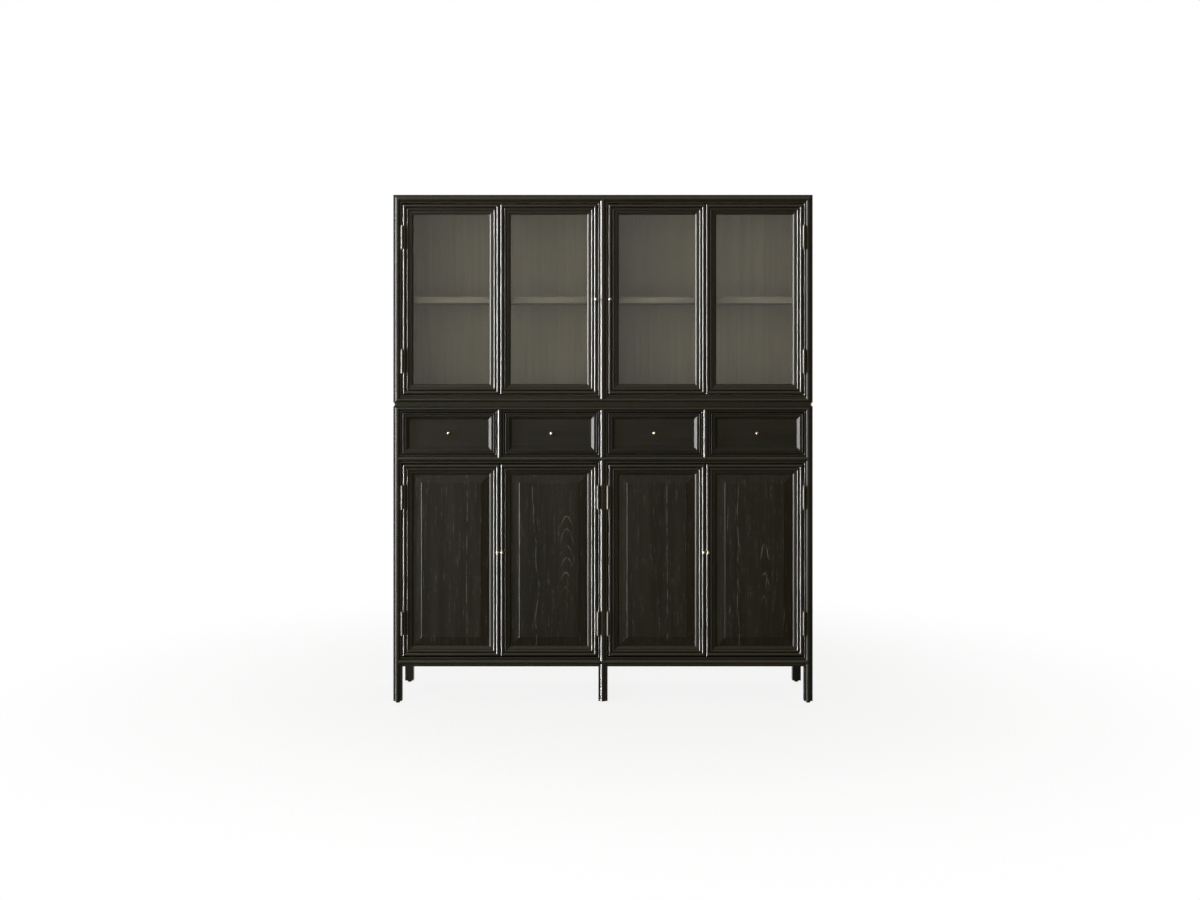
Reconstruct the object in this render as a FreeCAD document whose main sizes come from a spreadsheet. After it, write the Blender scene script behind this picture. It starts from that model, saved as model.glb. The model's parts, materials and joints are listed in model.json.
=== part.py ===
import FreeCAD, Part
import os
import re
import Sketcher

# China cabinet: a glazed hutch on a base with four drawers over four panelled doors.
# Millimetres, +Z up, front towards -Y, origin on the ground under the middle of the whole.

os.makedirs("parts", exist_ok=True)
doc = FreeCAD.newDocument("ChinaCabinet")
sheet = doc.addObject("Spreadsheet::Sheet", "Sizes")

# Driving dimensions, each written once.
driving = {
    # whole cabinet
    "width": 1820,
    "depth": 450,
    "leg_height": 158,
    "door_opening": 841,
    "drawer_opening": 184,
    "hutch_opening": 833,
    "joint_board": 7,
    "joint_seam": 2,
    "joint_inset": 5,
    "seam_inset": 9,
    # beaded posts and rails
    "post_depth": 38,
    "bead_rise": 8,
    "corner_edge": 7,
    "corner_bead": 22,
    "corner_step": 8,
    "centre_bead": 24,
    "centre_step": 8,
    "divider_bead": 23,
    "divider_step": 8,
    "bottom_edge": 7,
    "bottom_bead": 22,
    "bottom_step": 11,
    "middle_bead": 21,
    "middle_step": 9,
    "top_edge": 4,
    "top_bead": 13,
    "top_step": 8,
    "hutch_foot_edge": 4,
    "hutch_foot_bead": 14,
    "hutch_foot_step": 14,
    "scribe_tip": 2,
    "rear_post": 38,
    "lining_width": 6.5,
    "lining_rise": 3,
    # boards
    "board": 18,
    "partition": 18,
    "panel_inset": 8,
    "panel_board": 12,
    "rail_inset": 2,
    "side_rail": 42,
    "back_board": 8,
    "back_rail": 20,
    "hutch_shelf_board": 28,
    "hutch_shelf_level": 1736,
    "hutch_shelf_setback": 62,
    "base_shelf_board": 20,
    "base_shelf_level": 612,
    "base_shelf_setback": 90,
    "deck_board": 15,
    # feet
    "glide_height": 8,
    "glide_top": 11,
    "glide_bottom": 8.5,
    # doors
    "door_gap": 3,
    "door_setback": 4,
    "door_board": 24,
    "outer_bead": 16,
    "outer_rise": 6,
    "quirk_width": 1.5,
    "quirk_depth": 1.5,
    "inner_bead": 10.5,
    "inner_rise": 4,
    "valley_width": 2.5,
    "valley_depth": 2,
    "bevel_width": 10,
    "bevel_drop": 1.5,
    "lip_chamfer": 5,
    "lip_fall": 4.5,
    "lip_board": 2,
    "rebate_width": 10,
    "glass_board": 4,
    "glass_play": 1,
    "panel_edge": 6,
    "panel_play": 1.5,
    "panel_slope": 35,
    "panel_rise": 6.5,
    "field_step": 1.5,
    "field_chamfer": 2,
    # drawers
    "drawer_board": 24,
    "edge_bead": 7,
    "edge_rise": 3,
    "edge_groove": 3.5,
    "edge_groove_depth": 1.5,
    "border_flat": 5.5,
    "border_bevel": 11.5,
    "border_drop": 10,
    "border_rise": 1,
    "border_lip": 1.5,
    "border_lip_board": 1.5,
    "drawer_panel_edge": 6,
    "drawer_tongue": 7,
    "drawer_panel_play": 1,
    "box_inset": 6,
    "box_side": 12,
    "box_tall": 140,
    "box_length": 372,
    "box_bottom": 6,
    "box_groove": 10,
    "running_gap": 0.25,
    "guide_height": 20,
    # knobs
    "knob_ball": 7.2,
    "knob_neck": 2.8,
    "knob_foot": 4.5,
    "knob_foot_height": 1.6,
    "knob_length": 18,
    "knob_seat": 0.1,
    "lower_knob_above_middle": 35,
    # hinges
    "hinge_length": 99,
    "hinge_from_end": 144,
    "hinge_axis_back": 0.8,
    "barrel": 5,
    "leaf": 1.3,
    "leaf_depth": 20,
    "leaf_clear": 0.3,
    "pin": 2.2,
    "pin_clear": 0.05,
    "pin_head": 4,
    "pin_head_height": 2.2,
    "knuckle_gap": 0.4,
}

# Places and sums that follow from them.
derived = {
    "corner_post": "corner_edge + corner_bead + corner_step",
    "centre_post": "centre_bead + 2 * centre_step",
    "divider_post": "divider_bead + 2 * divider_step",
    "bottom_rail": "bottom_edge + bottom_bead + bottom_step",
    "middle_rail": "middle_bead + 2 * middle_step",
    "top_rail": "top_edge + top_bead + top_step",
    "hutch_foot_rail": "hutch_foot_edge + hutch_foot_bead + hutch_foot_step",
    # across, left half
    "left": "-width / 2",
    "bay_left": "left + corner_post",
    "bay_right": "-centre_post / 2",
    "bay_middle": "(bay_left + bay_right) / 2",
    "divider_left": "bay_middle - divider_post / 2",
    "inner_left": "left + panel_inset + panel_board",
    "inner_right": "-partition / 2",
    "rear_left": "left + rear_post",
    "rear_right": "-rear_post / 2",
    # heights
    "doors_low": "leg_height + bottom_rail",
    "middle_low": "doors_low + door_opening",
    "drawers_low": "middle_low + middle_rail",
    "drawers_high": "drawers_low + drawer_opening",
    "base_high": "drawers_high + top_rail",
    "seam_low": "base_high + joint_board",
    "seam_high": "seam_low + joint_seam",
    "hutch_low": "seam_high + joint_board",
    "lights_low": "hutch_low + hutch_foot_rail",
    "lights_high": "lights_low + hutch_opening",
    "height": "lights_high + corner_post",
    # front to back
    "knob_reach": "knob_length + knob_seat - door_setback",
    "front": "(knob_reach - depth) / 2",
    "post_back": "front + post_depth",
    "rear_front": "front + depth - rear_post",
    "rear": "front + depth",
    "door_front": "front + door_setback",
    # doors
    "frame_face": "outer_bead + quirk_width + inner_bead + valley_width + bevel_width + lip_chamfer",
    "rebate_depth": "outer_rise + bevel_drop + lip_fall + lip_board",
    "lower_door_width": "(bay_right - bay_left - 3 * door_gap) / 2",
    "lower_door_tall": "door_opening - 2 * door_gap",
    "upper_light_width": "(bay_right - bay_left - 2 * door_gap) / 2",
    "upper_door_tall": "hutch_opening - 2 * door_gap",
    "rebate_edge": "frame_face - rebate_width",
    # drawers
    "border_face": "edge_bead + edge_groove + border_flat + border_bevel + border_lip",
    "border_low": "edge_rise - border_rise + border_drop + border_lip_board",
    "drawer_width": "divider_left - bay_left - 2 * door_gap",
    "drawer_tall": "drawer_opening - 2 * door_gap",
    "box_left": "bay_left + door_gap + box_inset",
    "box_right": "divider_left - door_gap - box_inset",
    "box_front": "door_front + drawer_board",
    "box_low": "drawers_low + running_gap",
    # hinges
    "hinge_x": "bay_left + door_gap / 2",
    "hinge_y": "front + hinge_axis_back",
}

row = 0
for name, value in list(driving.items()) + list(derived.items()):
    row += 1
    text = str(value) if name in driving else "=" + value
    sheet.set("A%d" % row, name)
    sheet.set("B%d" % row, text)
    sheet.setAlias("B%d" % row, name)
doc.recompute()

size_words = re.compile(r"\b(%s)\b" % "|".join(list(driving) + list(derived)))
knuckle_count = 5


def number(text):
    return float(sheet.evalExpression(text))


def bind(thing, **sizes):
    for prop, text in sizes.items():
        thing.setExpression(prop, size_words.sub(r"Sizes.\1", text))
    return thing


def place(thing, x="0", y="0", z="0"):
    for axis, text in (("x", x), ("y", y), ("z", z)):
        thing.setExpression("Placement.Base." + axis, size_words.sub(r"Sizes.\1", text))
    return thing


# Plain boards, given by their two corners.
def board(label, x, y, z):
    box = doc.addObject("Part::Box", label)
    bind(box, Length="(%s) - (%s)" % (x[1], x[0]))
    bind(box, Width="(%s) - (%s)" % (y[1], y[0]))
    bind(box, Height="(%s) - (%s)" % (z[1], z[0]))
    return place(box, x[0], y[0], z[0])


def group(label, pieces):
    compound = doc.addObject("Part::Compound", label)
    compound.Links = pieces
    return compound


def fuse(label, pieces):
    joined = doc.addObject("Part::MultiFuse", label)
    joined.Shapes = pieces
    return joined


def cut(label, base, tool):
    rest = doc.addObject("Part::Cut", label)
    rest.Base = base
    rest.Tool = tool
    return rest


def mirror(label, source, axis, at):
    image = doc.addObject("Part::Mirroring", label)
    image.Source = source
    image.Normal = FreeCAD.Vector(axis == "x", axis == "y", axis == "z")
    image.setExpression("Base." + axis, size_words.sub(r"Sizes.\1", at))
    return image


def both_sides(label, source):
    return mirror(label, source, "x", "0")


# The far end of a half-round stretch from one place across to another: the corner, then the
# radius of the arc that leads to it and the crest that the arc passes through.
def bead_end(start, end, level, rise):
    radius = "((%s) - (%s)) ^ 2 / (8 * %s) + %s / 2" % (end, start, rise, rise)
    return (end, level, radius, "((%s) + (%s)) / 2" % (start, end), "%s - %s" % (level, rise))


# A closed outline on one of a body's own planes. A corner is (a, b), reached by a straight line,
# or (a, b, radius, via a, via b), reached by an arc.
def outline_sketch(body, role, corners):
    plane = [f for f in body.Origin.OriginFeatures if f.Role == role][0]
    sketch = body.newObject("Sketcher::SketchObject", body.Name + "_outline")
    sketch.AttachmentSupport = [(plane, "")]
    sketch.MapMode = "FlatFace"
    spots = [FreeCAD.Vector(number(c[0]), number(c[1]), 0) for c in corners]
    ends = []
    for index, corner in enumerate(corners):
        start = spots[index - 1]
        end = spots[index]
        if len(corner) == 2:
            ends.append((sketch.addGeometry(Part.LineSegment(start, end)), 1, 2))
            continue
        via = FreeCAD.Vector(number(corner[3]), number(corner[4]), 0)
        edge = sketch.addGeometry(Part.Arc(start, via, end))
        to_first = sketch.getPoint(edge, 1).distanceToPoint(start)
        to_last = sketch.getPoint(edge, 2).distanceToPoint(start)
        ends.append((edge, 1, 2) if to_first < to_last else (edge, 2, 1))
    for index, corner in enumerate(corners):
        edge, first, last = ends[index]
        before, _, before_last = ends[index - 1]
        sketch.addConstraint(Sketcher.Constraint("Coincident", before, before_last, edge, first))
        for kind, axis, text in (("DistanceX", -2, corner[0]), ("DistanceY", -1, corner[1])):
            if text == "0":
                sketch.addConstraint(Sketcher.Constraint("PointOnObject", edge, last, axis))
                continue
            rule = Sketcher.Constraint(kind, -1, 1, edge, last, number(text))
            bind(sketch, **{"Constraints[%d]" % sketch.addConstraint(rule): text})
        if len(corner) > 2:
            rule = Sketcher.Constraint("Radius", edge, number(corner[2]))
            bind(sketch, **{"Constraints[%d]" % sketch.addConstraint(rule): corner[2]})
    return sketch


# A straight bar of one section. Sections are given as (across, back); an upright stands along
# Z with its section across X, a level bar runs along X with its section across Z.
def bar(label, section, length, upright=False):
    body = doc.addObject("PartDesign::Body", label)
    if upright:
        sketch = outline_sketch(body, "XY_Plane", section)
    else:
        turned = []
        for corner in section:
            arc = (corner[2], corner[4], corner[3]) if len(corner) > 2 else ()
            turned.append((corner[1], corner[0]) + arc)
        sketch = outline_sketch(body, "YZ_Plane", turned)
    pad = body.newObject("PartDesign::Pad", label + "_pad")
    pad.Profile = sketch
    bind(pad, Length=length)
    return body


# Half-round front between two flat steps.
def beaded_section(low, bead, high):
    bead_high = "%s + %s" % (low, bead)
    whole = "%s + %s" % (bead_high, high)
    return [
        ("0", "post_depth"),
        ("0", "bead_rise"),
        (low, "bead_rise"),
        bead_end(low, bead_high, "bead_rise", "bead_rise"),
        (whole, "bead_rise"),
        (whole, "post_depth"),
    ]


# The room that a mitred rail of the whole width takes between two corner posts, from its outer
# edge up: edge meets edge, bead meets bead and step meets step.
def mitre_block(label, edge, bead, step):
    body = doc.addObject("PartDesign::Body", label)
    bead_high = "%s + %s" % (edge, bead)
    rail = "%s + %s" % (bead_high, step)
    outline = [
        ("0", "0"),
        ("corner_edge", edge),
        ("corner_edge + corner_bead", bead_high),
        ("corner_post", rail),
        ("width - corner_post", rail),
        ("width - corner_edge - corner_bead", bead_high),
        ("width - corner_edge", edge),
        ("width", "0"),
    ]
    sketch = outline_sketch(body, "XZ_Plane", outline)
    pad = body.newObject("PartDesign::Pad", label + "_pad")
    pad.Profile = sketch
    pad.Reversed = True
    bind(pad, Length="post_depth")
    return body


# A rail of the whole width, cut to its mitres by the block that it lies in.
def mitred_rail(label, section, level, block):
    stock = bar(label + "_stock", section, "width")
    place(stock, "left", "front", level)
    rail = doc.addObject("Part::Common", label)
    rail.Base = stock
    rail.Tool = block
    return rail


# Four mitred members round a rectangle. Local frame: lower left corner at the origin, X across,
# Z up, Y back from the crest of the moulding. Each member is cut to its mitres by a wedge.
def mitred_frame(label, section, wide, tall, face, thick):
    members = []
    for side, length in (("rail", wide), ("stile", tall)):
        stock = bar("%s_%s_stock" % (label, side), section, length)
        mitre = doc.addObject("Part::Wedge", "%s_%s_mitre" % (label, side))
        bind(mitre, Xmin="0", Xmax=length, X2min=face, X2max="(%s) - (%s)" % (length, face))
        bind(mitre, Ymin="0", Ymax=face)
        bind(mitre, Zmin="-(%s)" % thick, Zmax="0", Z2min="-(%s)" % thick, Z2max="0")
        mitre.Placement.Rotation = FreeCAD.Rotation(FreeCAD.Vector(1, 0, 0), 90)
        member = doc.addObject("Part::Common", "%s_%s" % (label, side))
        member.Base = stock
        member.Tool = mitre
        if side == "stile":
            member.Placement.Rotation = FreeCAD.Rotation(FreeCAD.Vector(0, 1, 0), 90)
            place(member, z=tall)
            members.append(mirror(label + "_other_stile", member, "x", "(%s) / 2" % wide))
        else:
            members.append(mirror(label + "_other_rail", member, "z", "(%s) / 2" % tall))
        members.append(member)
    return group(label, members)


# Reeded door moulding, outer edge first: bead, quirk, smaller bead, valley, slight bevel and a
# chamfered lip. The inner edge is either open at the back for glass or grooved for a panel.
def door_section(inner_edge):
    u_quirk = "outer_bead + quirk_width"
    u_valley = u_quirk + " + inner_bead"
    u_bevel = u_valley + " + valley_width"
    u_lip = u_bevel + " + bevel_width"
    section = [
        ("0", "door_board"),
        ("0", "outer_rise"),
        bead_end("0", "outer_bead", "outer_rise", "outer_rise"),
        ("outer_bead", "outer_rise + quirk_depth"),
        (u_quirk, "outer_rise + quirk_depth"),
        (u_quirk, "outer_rise"),
        bead_end(u_quirk, u_valley, "outer_rise", "inner_rise"),
        (u_valley, "outer_rise + valley_depth"),
        (u_bevel, "outer_rise + valley_depth"),
        (u_bevel, "outer_rise"),
        (u_lip, "outer_rise + bevel_drop"),
        ("frame_face", "outer_rise + bevel_drop + lip_fall"),
        ("frame_face", "rebate_depth"),
        ("rebate_edge", "rebate_depth"),
    ]
    return section + inner_edge


def glazing_rebate():
    return [("rebate_edge", "door_board")]


def panel_groove():
    groove_back = "rebate_depth + panel_edge"
    return [("rebate_edge", groove_back), ("frame_face", groove_back), ("frame_face", "door_board")]


# Bevelled border of a drawer front, grooved for its sunk panel.
def drawer_section():
    u_flat = "edge_bead + edge_groove"
    u_bevel = u_flat + " + border_flat"
    u_lip = u_bevel + " + border_bevel"
    v_low = "edge_rise - border_rise + border_drop"
    return [
        ("0", "drawer_board"),
        ("0", "edge_rise"),
        bead_end("0", "edge_bead", "edge_rise", "edge_rise"),
        ("edge_bead", "edge_rise + edge_groove_depth"),
        (u_flat, "edge_rise + edge_groove_depth"),
        (u_flat, "edge_rise - border_rise"),
        (u_bevel, "edge_rise - border_rise"),
        (u_lip, v_low),
        ("border_face", v_low),
        ("border_face", "border_low"),
        ("border_face - drawer_tongue", "border_low"),
        ("border_face - drawer_tongue", "border_low + drawer_panel_edge"),
        ("border_face", "border_low + drawer_panel_edge"),
        ("border_face", "drawer_board"),
    ]


# A turned knob on its foot, pointing to the front: half its outline, turned about its axis.
def knob(label, x, y, z):
    body = doc.addObject("PartDesign::Body", label)
    ball_middle = "knob_length - knob_ball"
    ball_low = ball_middle + " - sqrt(knob_ball ^ 2 - knob_neck ^ 2)"
    half = [
        ("0", "0"),
        ("knob_foot", "0"),
        ("knob_foot", "knob_foot_height"),
        ("knob_neck", "knob_foot_height"),
        ("knob_neck", ball_low),
        ("0", "knob_length", "knob_ball", "knob_ball", ball_middle),
    ]
    sketch = outline_sketch(body, "XY_Plane", half)
    turning = body.newObject("PartDesign::Revolution", label + "_turning")
    turning.Profile = sketch
    turning.ReferenceAxis = (sketch, ["V_Axis"])
    turning.Angle = 360
    body.Placement.Rotation = FreeCAD.Rotation(FreeCAD.Vector(0, 0, 1), 180)
    return place(body, x, y, z)


def cylinder(label, radius, tall, x, y, z):
    rod = doc.addObject("Part::Cylinder", label)
    bind(rod, Radius=radius, Height=tall)
    return place(rod, x, y, z)


# A butt hinge with its lower end at the given height: fixed leaf, moving leaf and pin. The
# knuckles alternate from the fixed leaf at both ends.
def hinge(label, low):
    pieces = {"fixed": [], "moving": []}
    sides = {
        "fixed": ("bay_left", "bay_left + leaf"),
        "moving": ("bay_left + door_gap - leaf", "bay_left + door_gap"),
    }
    plate_front = "hinge_y + barrel + leaf_clear"
    for count in range(knuckle_count):
        owner = "moving" if count % 2 else "fixed"
        start = "%s + %d * hinge_length / %d + knuckle_gap / 2" % (low, count, knuckle_count)
        tall = "hinge_length / %d - knuckle_gap" % knuckle_count
        mark = "%s_%s_%d" % (label, owner, count)
        knuckle = cylinder(mark + "_knuckle", "barrel", tall, "hinge_x", "hinge_y", start)
        tab_y = ("hinge_y + (barrel + pin + pin_clear) / 2", plate_front)
        tab = board(mark + "_tab", sides[owner], tab_y, (start, "%s + %s" % (start, tall)))
        pieces[owner] += [knuckle, tab]
    leaves = {}
    for owner, parts in pieces.items():
        mark = "%s_%s" % (label, owner)
        ends = ("%s + knuckle_gap / 2" % low, "%s + hinge_length - knuckle_gap / 2" % low)
        plate = board(mark + "_plate", sides[owner], (plate_front, plate_front + " + leaf_depth"), ends)
        bore = cylinder(mark + "_bore", "pin + pin_clear", "hinge_length", "hinge_x", "hinge_y", low)
        leaves[owner] = cut(mark + "_leaf", fuse(mark + "_blank", parts + [plate]), bore)
    shaft_low = "%s + knuckle_gap / 2 - pin_head_height" % low
    shaft_tall = "hinge_length - knuckle_gap + 2 * pin_head_height"
    shaft = cylinder(label + "_shaft", "pin", shaft_tall, "hinge_x", "hinge_y", shaft_low)
    head_high = "%s + hinge_length - knuckle_gap / 2" % low
    heads = []
    for mark, level in (("low", shaft_low), ("high", head_high)):
        name = "%s_%s_head" % (label, mark)
        heads.append(cylinder(name, "pin_head", "pin_head_height", "hinge_x", "hinge_y", level))
    return leaves["fixed"], leaves["moving"], fuse(label + "_pin", [shaft] + heads)


nodes = []


def keep(label, thing):
    thing.Label = label
    nodes.append(thing)
    return thing


# Base: corner posts mitred to one long top rail, centre post scribed into it.
corner_section = beaded_section("corner_edge", "corner_bead", "corner_step")
centre_section = beaded_section("centre_step", "centre_bead", "centre_step")
top_block = place(mitre_block("base_top_block", "top_edge", "top_bead", "top_step"), "left", "front")
top_mitre = mirror("base_top_mitre", top_block, "z", "base_high / 2")
top_section = beaded_section("top_step", "top_bead", "top_edge")
top_rail = mitred_rail("base_top_rail", top_section, "drawers_high", top_mitre)
base_stock = bar("base_corner_stock", corner_section, "base_high - glide_height", upright=True)
place(base_stock, "left", "front", "glide_height")
base_post = cut("base_corner_post", base_stock, top_mitre)
centre_tall = "base_high - top_edge - top_bead / 2 - scribe_tip - glide_height"
base_centre_stock = bar("base_centre_stock", centre_section, centre_tall, upright=True)
place(base_centre_stock, "bay_right", "front", "glide_height")
base_centre = cut("base_centre_post", base_centre_stock, top_rail)
base_other_post = both_sides("base_other_corner_post", base_post)
keep("base_front_posts", group("base_front_post_set", [base_post, base_centre, base_other_post]))

# Base: lower rails, whose beads run over the steps of the posts and are scribed to their beads.
crest_left = "left + corner_edge + corner_bead / 2 + scribe_tip"
crest_right = "-scribe_tip"
post_pair = group("base_scribing_posts", [base_post, base_centre])
base_rails = [top_rail]
rail_kinds = (
    ("bottom", beaded_section("bottom_edge", "bottom_bead", "bottom_step"), "leg_height"),
    ("middle", beaded_section("middle_step", "middle_bead", "middle_step"), "middle_low"),
)
scribed_rails = {}
for kind, section, level in rail_kinds:
    stock = bar("base_%s_rail_stock" % kind, section, "%s - (%s)" % (crest_right, crest_left))
    place(stock, crest_left, "front", level)
    scribed_rails[kind] = cut("base_%s_rail" % kind, stock, post_pair)
    base_rails += [scribed_rails[kind], both_sides("base_%s_other_rail" % kind, scribed_rails[kind])]
keep("base_front_rails", group("base_front_rail_set", base_rails))

# Drawer dividers, scribed into the middle and top rails.
divider_section = beaded_section("divider_step", "divider_bead", "divider_step")
divider_low = "middle_low + middle_step + middle_bead / 2 + scribe_tip"
divider_high = "base_high - top_edge - top_bead / 2 - scribe_tip"
divider_tall = "%s - (%s)" % (divider_high, divider_low)
divider_stock = bar("divider_stock", divider_section, divider_tall, upright=True)
place(divider_stock, "divider_left", "front", divider_low)
divider_rails = group("divider_scribing_rails", [scribed_rails["middle"], top_rail])
divider = cut("drawer_divider", divider_stock, divider_rails)
keep("drawer_dividers", group("drawer_divider_set", [divider, both_sides("other_drawer_divider", divider)]))

# Hutch: corner posts mitred to a head and a foot rail, centre post scribed into both.
head_block = mitre_block("hutch_head_block", "corner_edge", "corner_bead", "corner_step")
place(head_block, "left", "front")
head_mitre = mirror("hutch_head_mitre", head_block, "z", "height / 2")
head_section = beaded_section("corner_step", "corner_bead", "corner_edge")
head_rail = mitred_rail("hutch_head_rail", head_section, "lights_high", head_mitre)
foot_parts = ("hutch_foot_edge", "hutch_foot_bead", "hutch_foot_step")
foot_mitre = mitre_block("hutch_foot_mitre", *foot_parts)
place(foot_mitre, "left", "front", "hutch_low")
foot_section = beaded_section(*foot_parts)
foot_rail = mitred_rail("hutch_foot_rail", foot_section, "hutch_low", foot_mitre)
keep("hutch_front_rails", group("hutch_front_rail_set", [head_rail, foot_rail]))
hutch_stock = bar("hutch_corner_stock", corner_section, "height - hutch_low", upright=True)
place(hutch_stock, "left", "front", "hutch_low")
hutch_mitres = group("hutch_mitres", [head_mitre, foot_mitre])
hutch_post = cut("hutch_corner_post", hutch_stock, hutch_mitres)
hutch_other_post = both_sides("hutch_other_corner_post", hutch_post)
centre_low = "hutch_low + hutch_foot_edge + hutch_foot_bead / 2 + scribe_tip"
centre_high = "height - corner_edge - corner_bead / 2 - scribe_tip"
centre_tall = "%s - (%s)" % (centre_high, centre_low)
hutch_centre_stock = bar("hutch_centre_stock", centre_section, centre_tall, upright=True)
place(hutch_centre_stock, "bay_right", "front", centre_low)
hutch_scribing = group("hutch_scribing_rails", [head_rail, foot_rail])
hutch_centre = cut("hutch_centre_post", hutch_centre_stock, hutch_scribing)
keep("hutch_front_posts", group("hutch_front_post_set", [hutch_post, hutch_centre, hutch_other_post]))

# Lining beads planted on the steps round every opening.
lining_section = [("0", "lining_rise"), bead_end("0", "lining_width", "lining_rise", "lining_rise")]
linings = []
lining_kinds = (
    ("light", "bay_left", "bay_right", "lights_low", "lights_high"),
    ("door", "bay_left", "bay_right", "doors_low", "middle_low"),
    ("drawer", "bay_left", "divider_left", "drawers_low", "drawers_high"),
)
for kind, x0, x1, z0, z1 in lining_kinds:
    wide = "%s - %s + 2 * lining_width" % (x1, x0)
    tall = "%s - %s + 2 * lining_width" % (z1, z0)
    lining = mitred_frame(kind + "_lining", lining_section, wide, tall, "lining_width", "lining_rise")
    place(lining, x0 + " - lining_width", "front + bead_rise - lining_rise", z0 + " - lining_width")
    around = [lining]
    if kind == "drawer":
        around.append(mirror("second_drawer_lining", lining, "x", "bay_middle"))
    for index, piece in enumerate(around):
        linings += [piece, both_sides("%s_other_lining_%d" % (kind, index), piece)]
keep("opening_beads", group("opening_bead_set", linings))

# Rear posts, left, centre and right, for base and hutch.
for unit, low, high in (("base", "glide_height", "base_high"), ("hutch", "hutch_low", "height")):
    rear_y = ("rear_front", "rear")
    corner = board(unit + "_rear_corner", ("left", "rear_left"), rear_y, (low, high))
    centre = board(unit + "_rear_centre", ("rear_right", "-rear_right"), rear_y, (low, high))
    pair = [corner, centre, both_sides(unit + "_rear_other", corner)]
    keep(unit + "_rear_posts", group(unit + "_rear_post_set", pair))

# Side and back rails with the panels between them.
rails = []
side_panels = []
back_panels = []
inside_y = ("post_back", "rear_front")
for unit, low, high in (("base", "leg_height", "base_high"), ("hutch", "hutch_low", "height")):
    for end, z in (("low", (low, low + " + side_rail")), ("high", (high + " - side_rail", high))):
        mark = "%s_%s_" % (unit, end)
        side = board(mark + "side_rail", ("left + rail_inset", "inner_left"), inside_y, z)
        back_y = ("rear_front", "rear_front + back_rail")
        back = board(mark + "back_rail", ("rear_left", "rear_right"), back_y, z)
        rails += [side, both_sides(mark + "other_side_rail", side)]
        rails += [back, both_sides(mark + "other_back_rail", back)]
    between = (low + " + side_rail", high + " - side_rail")
    panel = board(unit + "_side_panel", ("left + panel_inset", "inner_left"), inside_y, between)
    side_panels += [panel, both_sides(unit + "_other_side_panel", panel)]
    panel_y = ("rear_front", "rear_front + back_board")
    panel = board(unit + "_back_panel", ("rear_left", "rear_right"), panel_y, between)
    back_panels += [panel, both_sides(unit + "_other_back_panel", panel)]
keep("side_and_back_rails", group("side_and_back_rail_set", rails))
keep("side_panels", group("side_panel_set", side_panels))
keep("back_panels", group("back_panel_set", back_panels))

# Boards inside the base and the hutch.
whole_x = ("inner_left", "-inner_left")
half_x = ("inner_left", "inner_right")
keep("base_floor", board("base_floor", whole_x, inside_y, ("doors_low - board", "doors_low")))
keep("base_top", board("base_top", whole_x, inside_y, ("base_high - board", "base_high")))
deck = board("deck", half_x, inside_y, ("drawers_low - deck_board", "drawers_low"))
keep("drawer_deck", group("drawer_deck_set", [deck, both_sides("other_deck", deck)]))
shelf_y = ("front + base_shelf_setback", "rear_front")
shelf = board("base_shelf", half_x, shelf_y, ("base_shelf_level", "base_shelf_level + base_shelf_board"))
keep("base_shelves", group("base_shelf_set", [shelf, both_sides("other_base_shelf", shelf)]))
middle_x = ("inner_right", "-inner_right")
base_partition = board("base_partition", middle_x, inside_y, ("doors_low", "base_high - board"))
hutch_partition = board("hutch_partition", middle_x, inside_y, ("lights_low", "height - board"))
keep("partitions", group("partition_set", [base_partition, hutch_partition]))
keep("hutch_floor", board("hutch_floor", whole_x, inside_y, ("lights_low - board", "lights_low")))
keep("hutch_top", board("hutch_top", whole_x, inside_y, ("height - board", "height")))
shelf_y = ("front + hutch_shelf_setback", "rear_front")
shelf_z = ("hutch_shelf_level", "hutch_shelf_level + hutch_shelf_board")
shelf = board("hutch_shelf", half_x, shelf_y, shelf_z)
keep("hutch_shelves", group("hutch_shelf_set", [shelf, both_sides("other_hutch_shelf", shelf)]))
# Joint between base and hutch: a thin board on each with a shadow gap between them.
joint_levels = (
    ("base_cap", "joint_inset", ("base_high", "seam_low")),
    ("seam_packing", "seam_inset", ("seam_low", "seam_high")),
    ("hutch_sole", "joint_inset", ("seam_high", "hutch_low")),
)
joint_boards = []
for label, inset, level in joint_levels:
    across = ("left + " + inset, "-left - " + inset)
    along = ("front + " + inset, "rear - " + inset)
    joint_boards.append(board(label, across, along, level))
keep("joining_strip", group("joining_strip_set", joint_boards))

# Guides on the deck at both sides of each drawer.
guide_z = ("drawers_low", "drawers_low + guide_height")
guide_spans = (
    ("inner_left", "box_left - running_gap"),
    ("box_right + running_gap", "2 * bay_middle - box_right - running_gap"),
    ("2 * bay_middle - box_left + running_gap", "inner_right"),
)
guides = []
for index, span in enumerate(guide_spans):
    guide = board("guide_%d" % index, span, inside_y, guide_z)
    guides += [guide, both_sides("other_guide_%d" % index, guide)]
keep("drawer_guides", group("drawer_guide_set", guides))

# Glides under the four corner legs.
glides = []
for index, (x, y) in enumerate((
    ("left + corner_post / 2", "front + post_depth / 2"),
    ("left + rear_post / 2", "rear - rear_post / 2"),
)):
    glide = doc.addObject("Part::Cone", "glide_%d" % index)
    bind(glide, Radius1="glide_bottom", Radius2="glide_top", Height="glide_height")
    place(glide, x, y)
    glides += [glide, both_sides("other_glide_%d" % index, glide)]
keep("foot_glides", group("foot_glide_set", glides))

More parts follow.
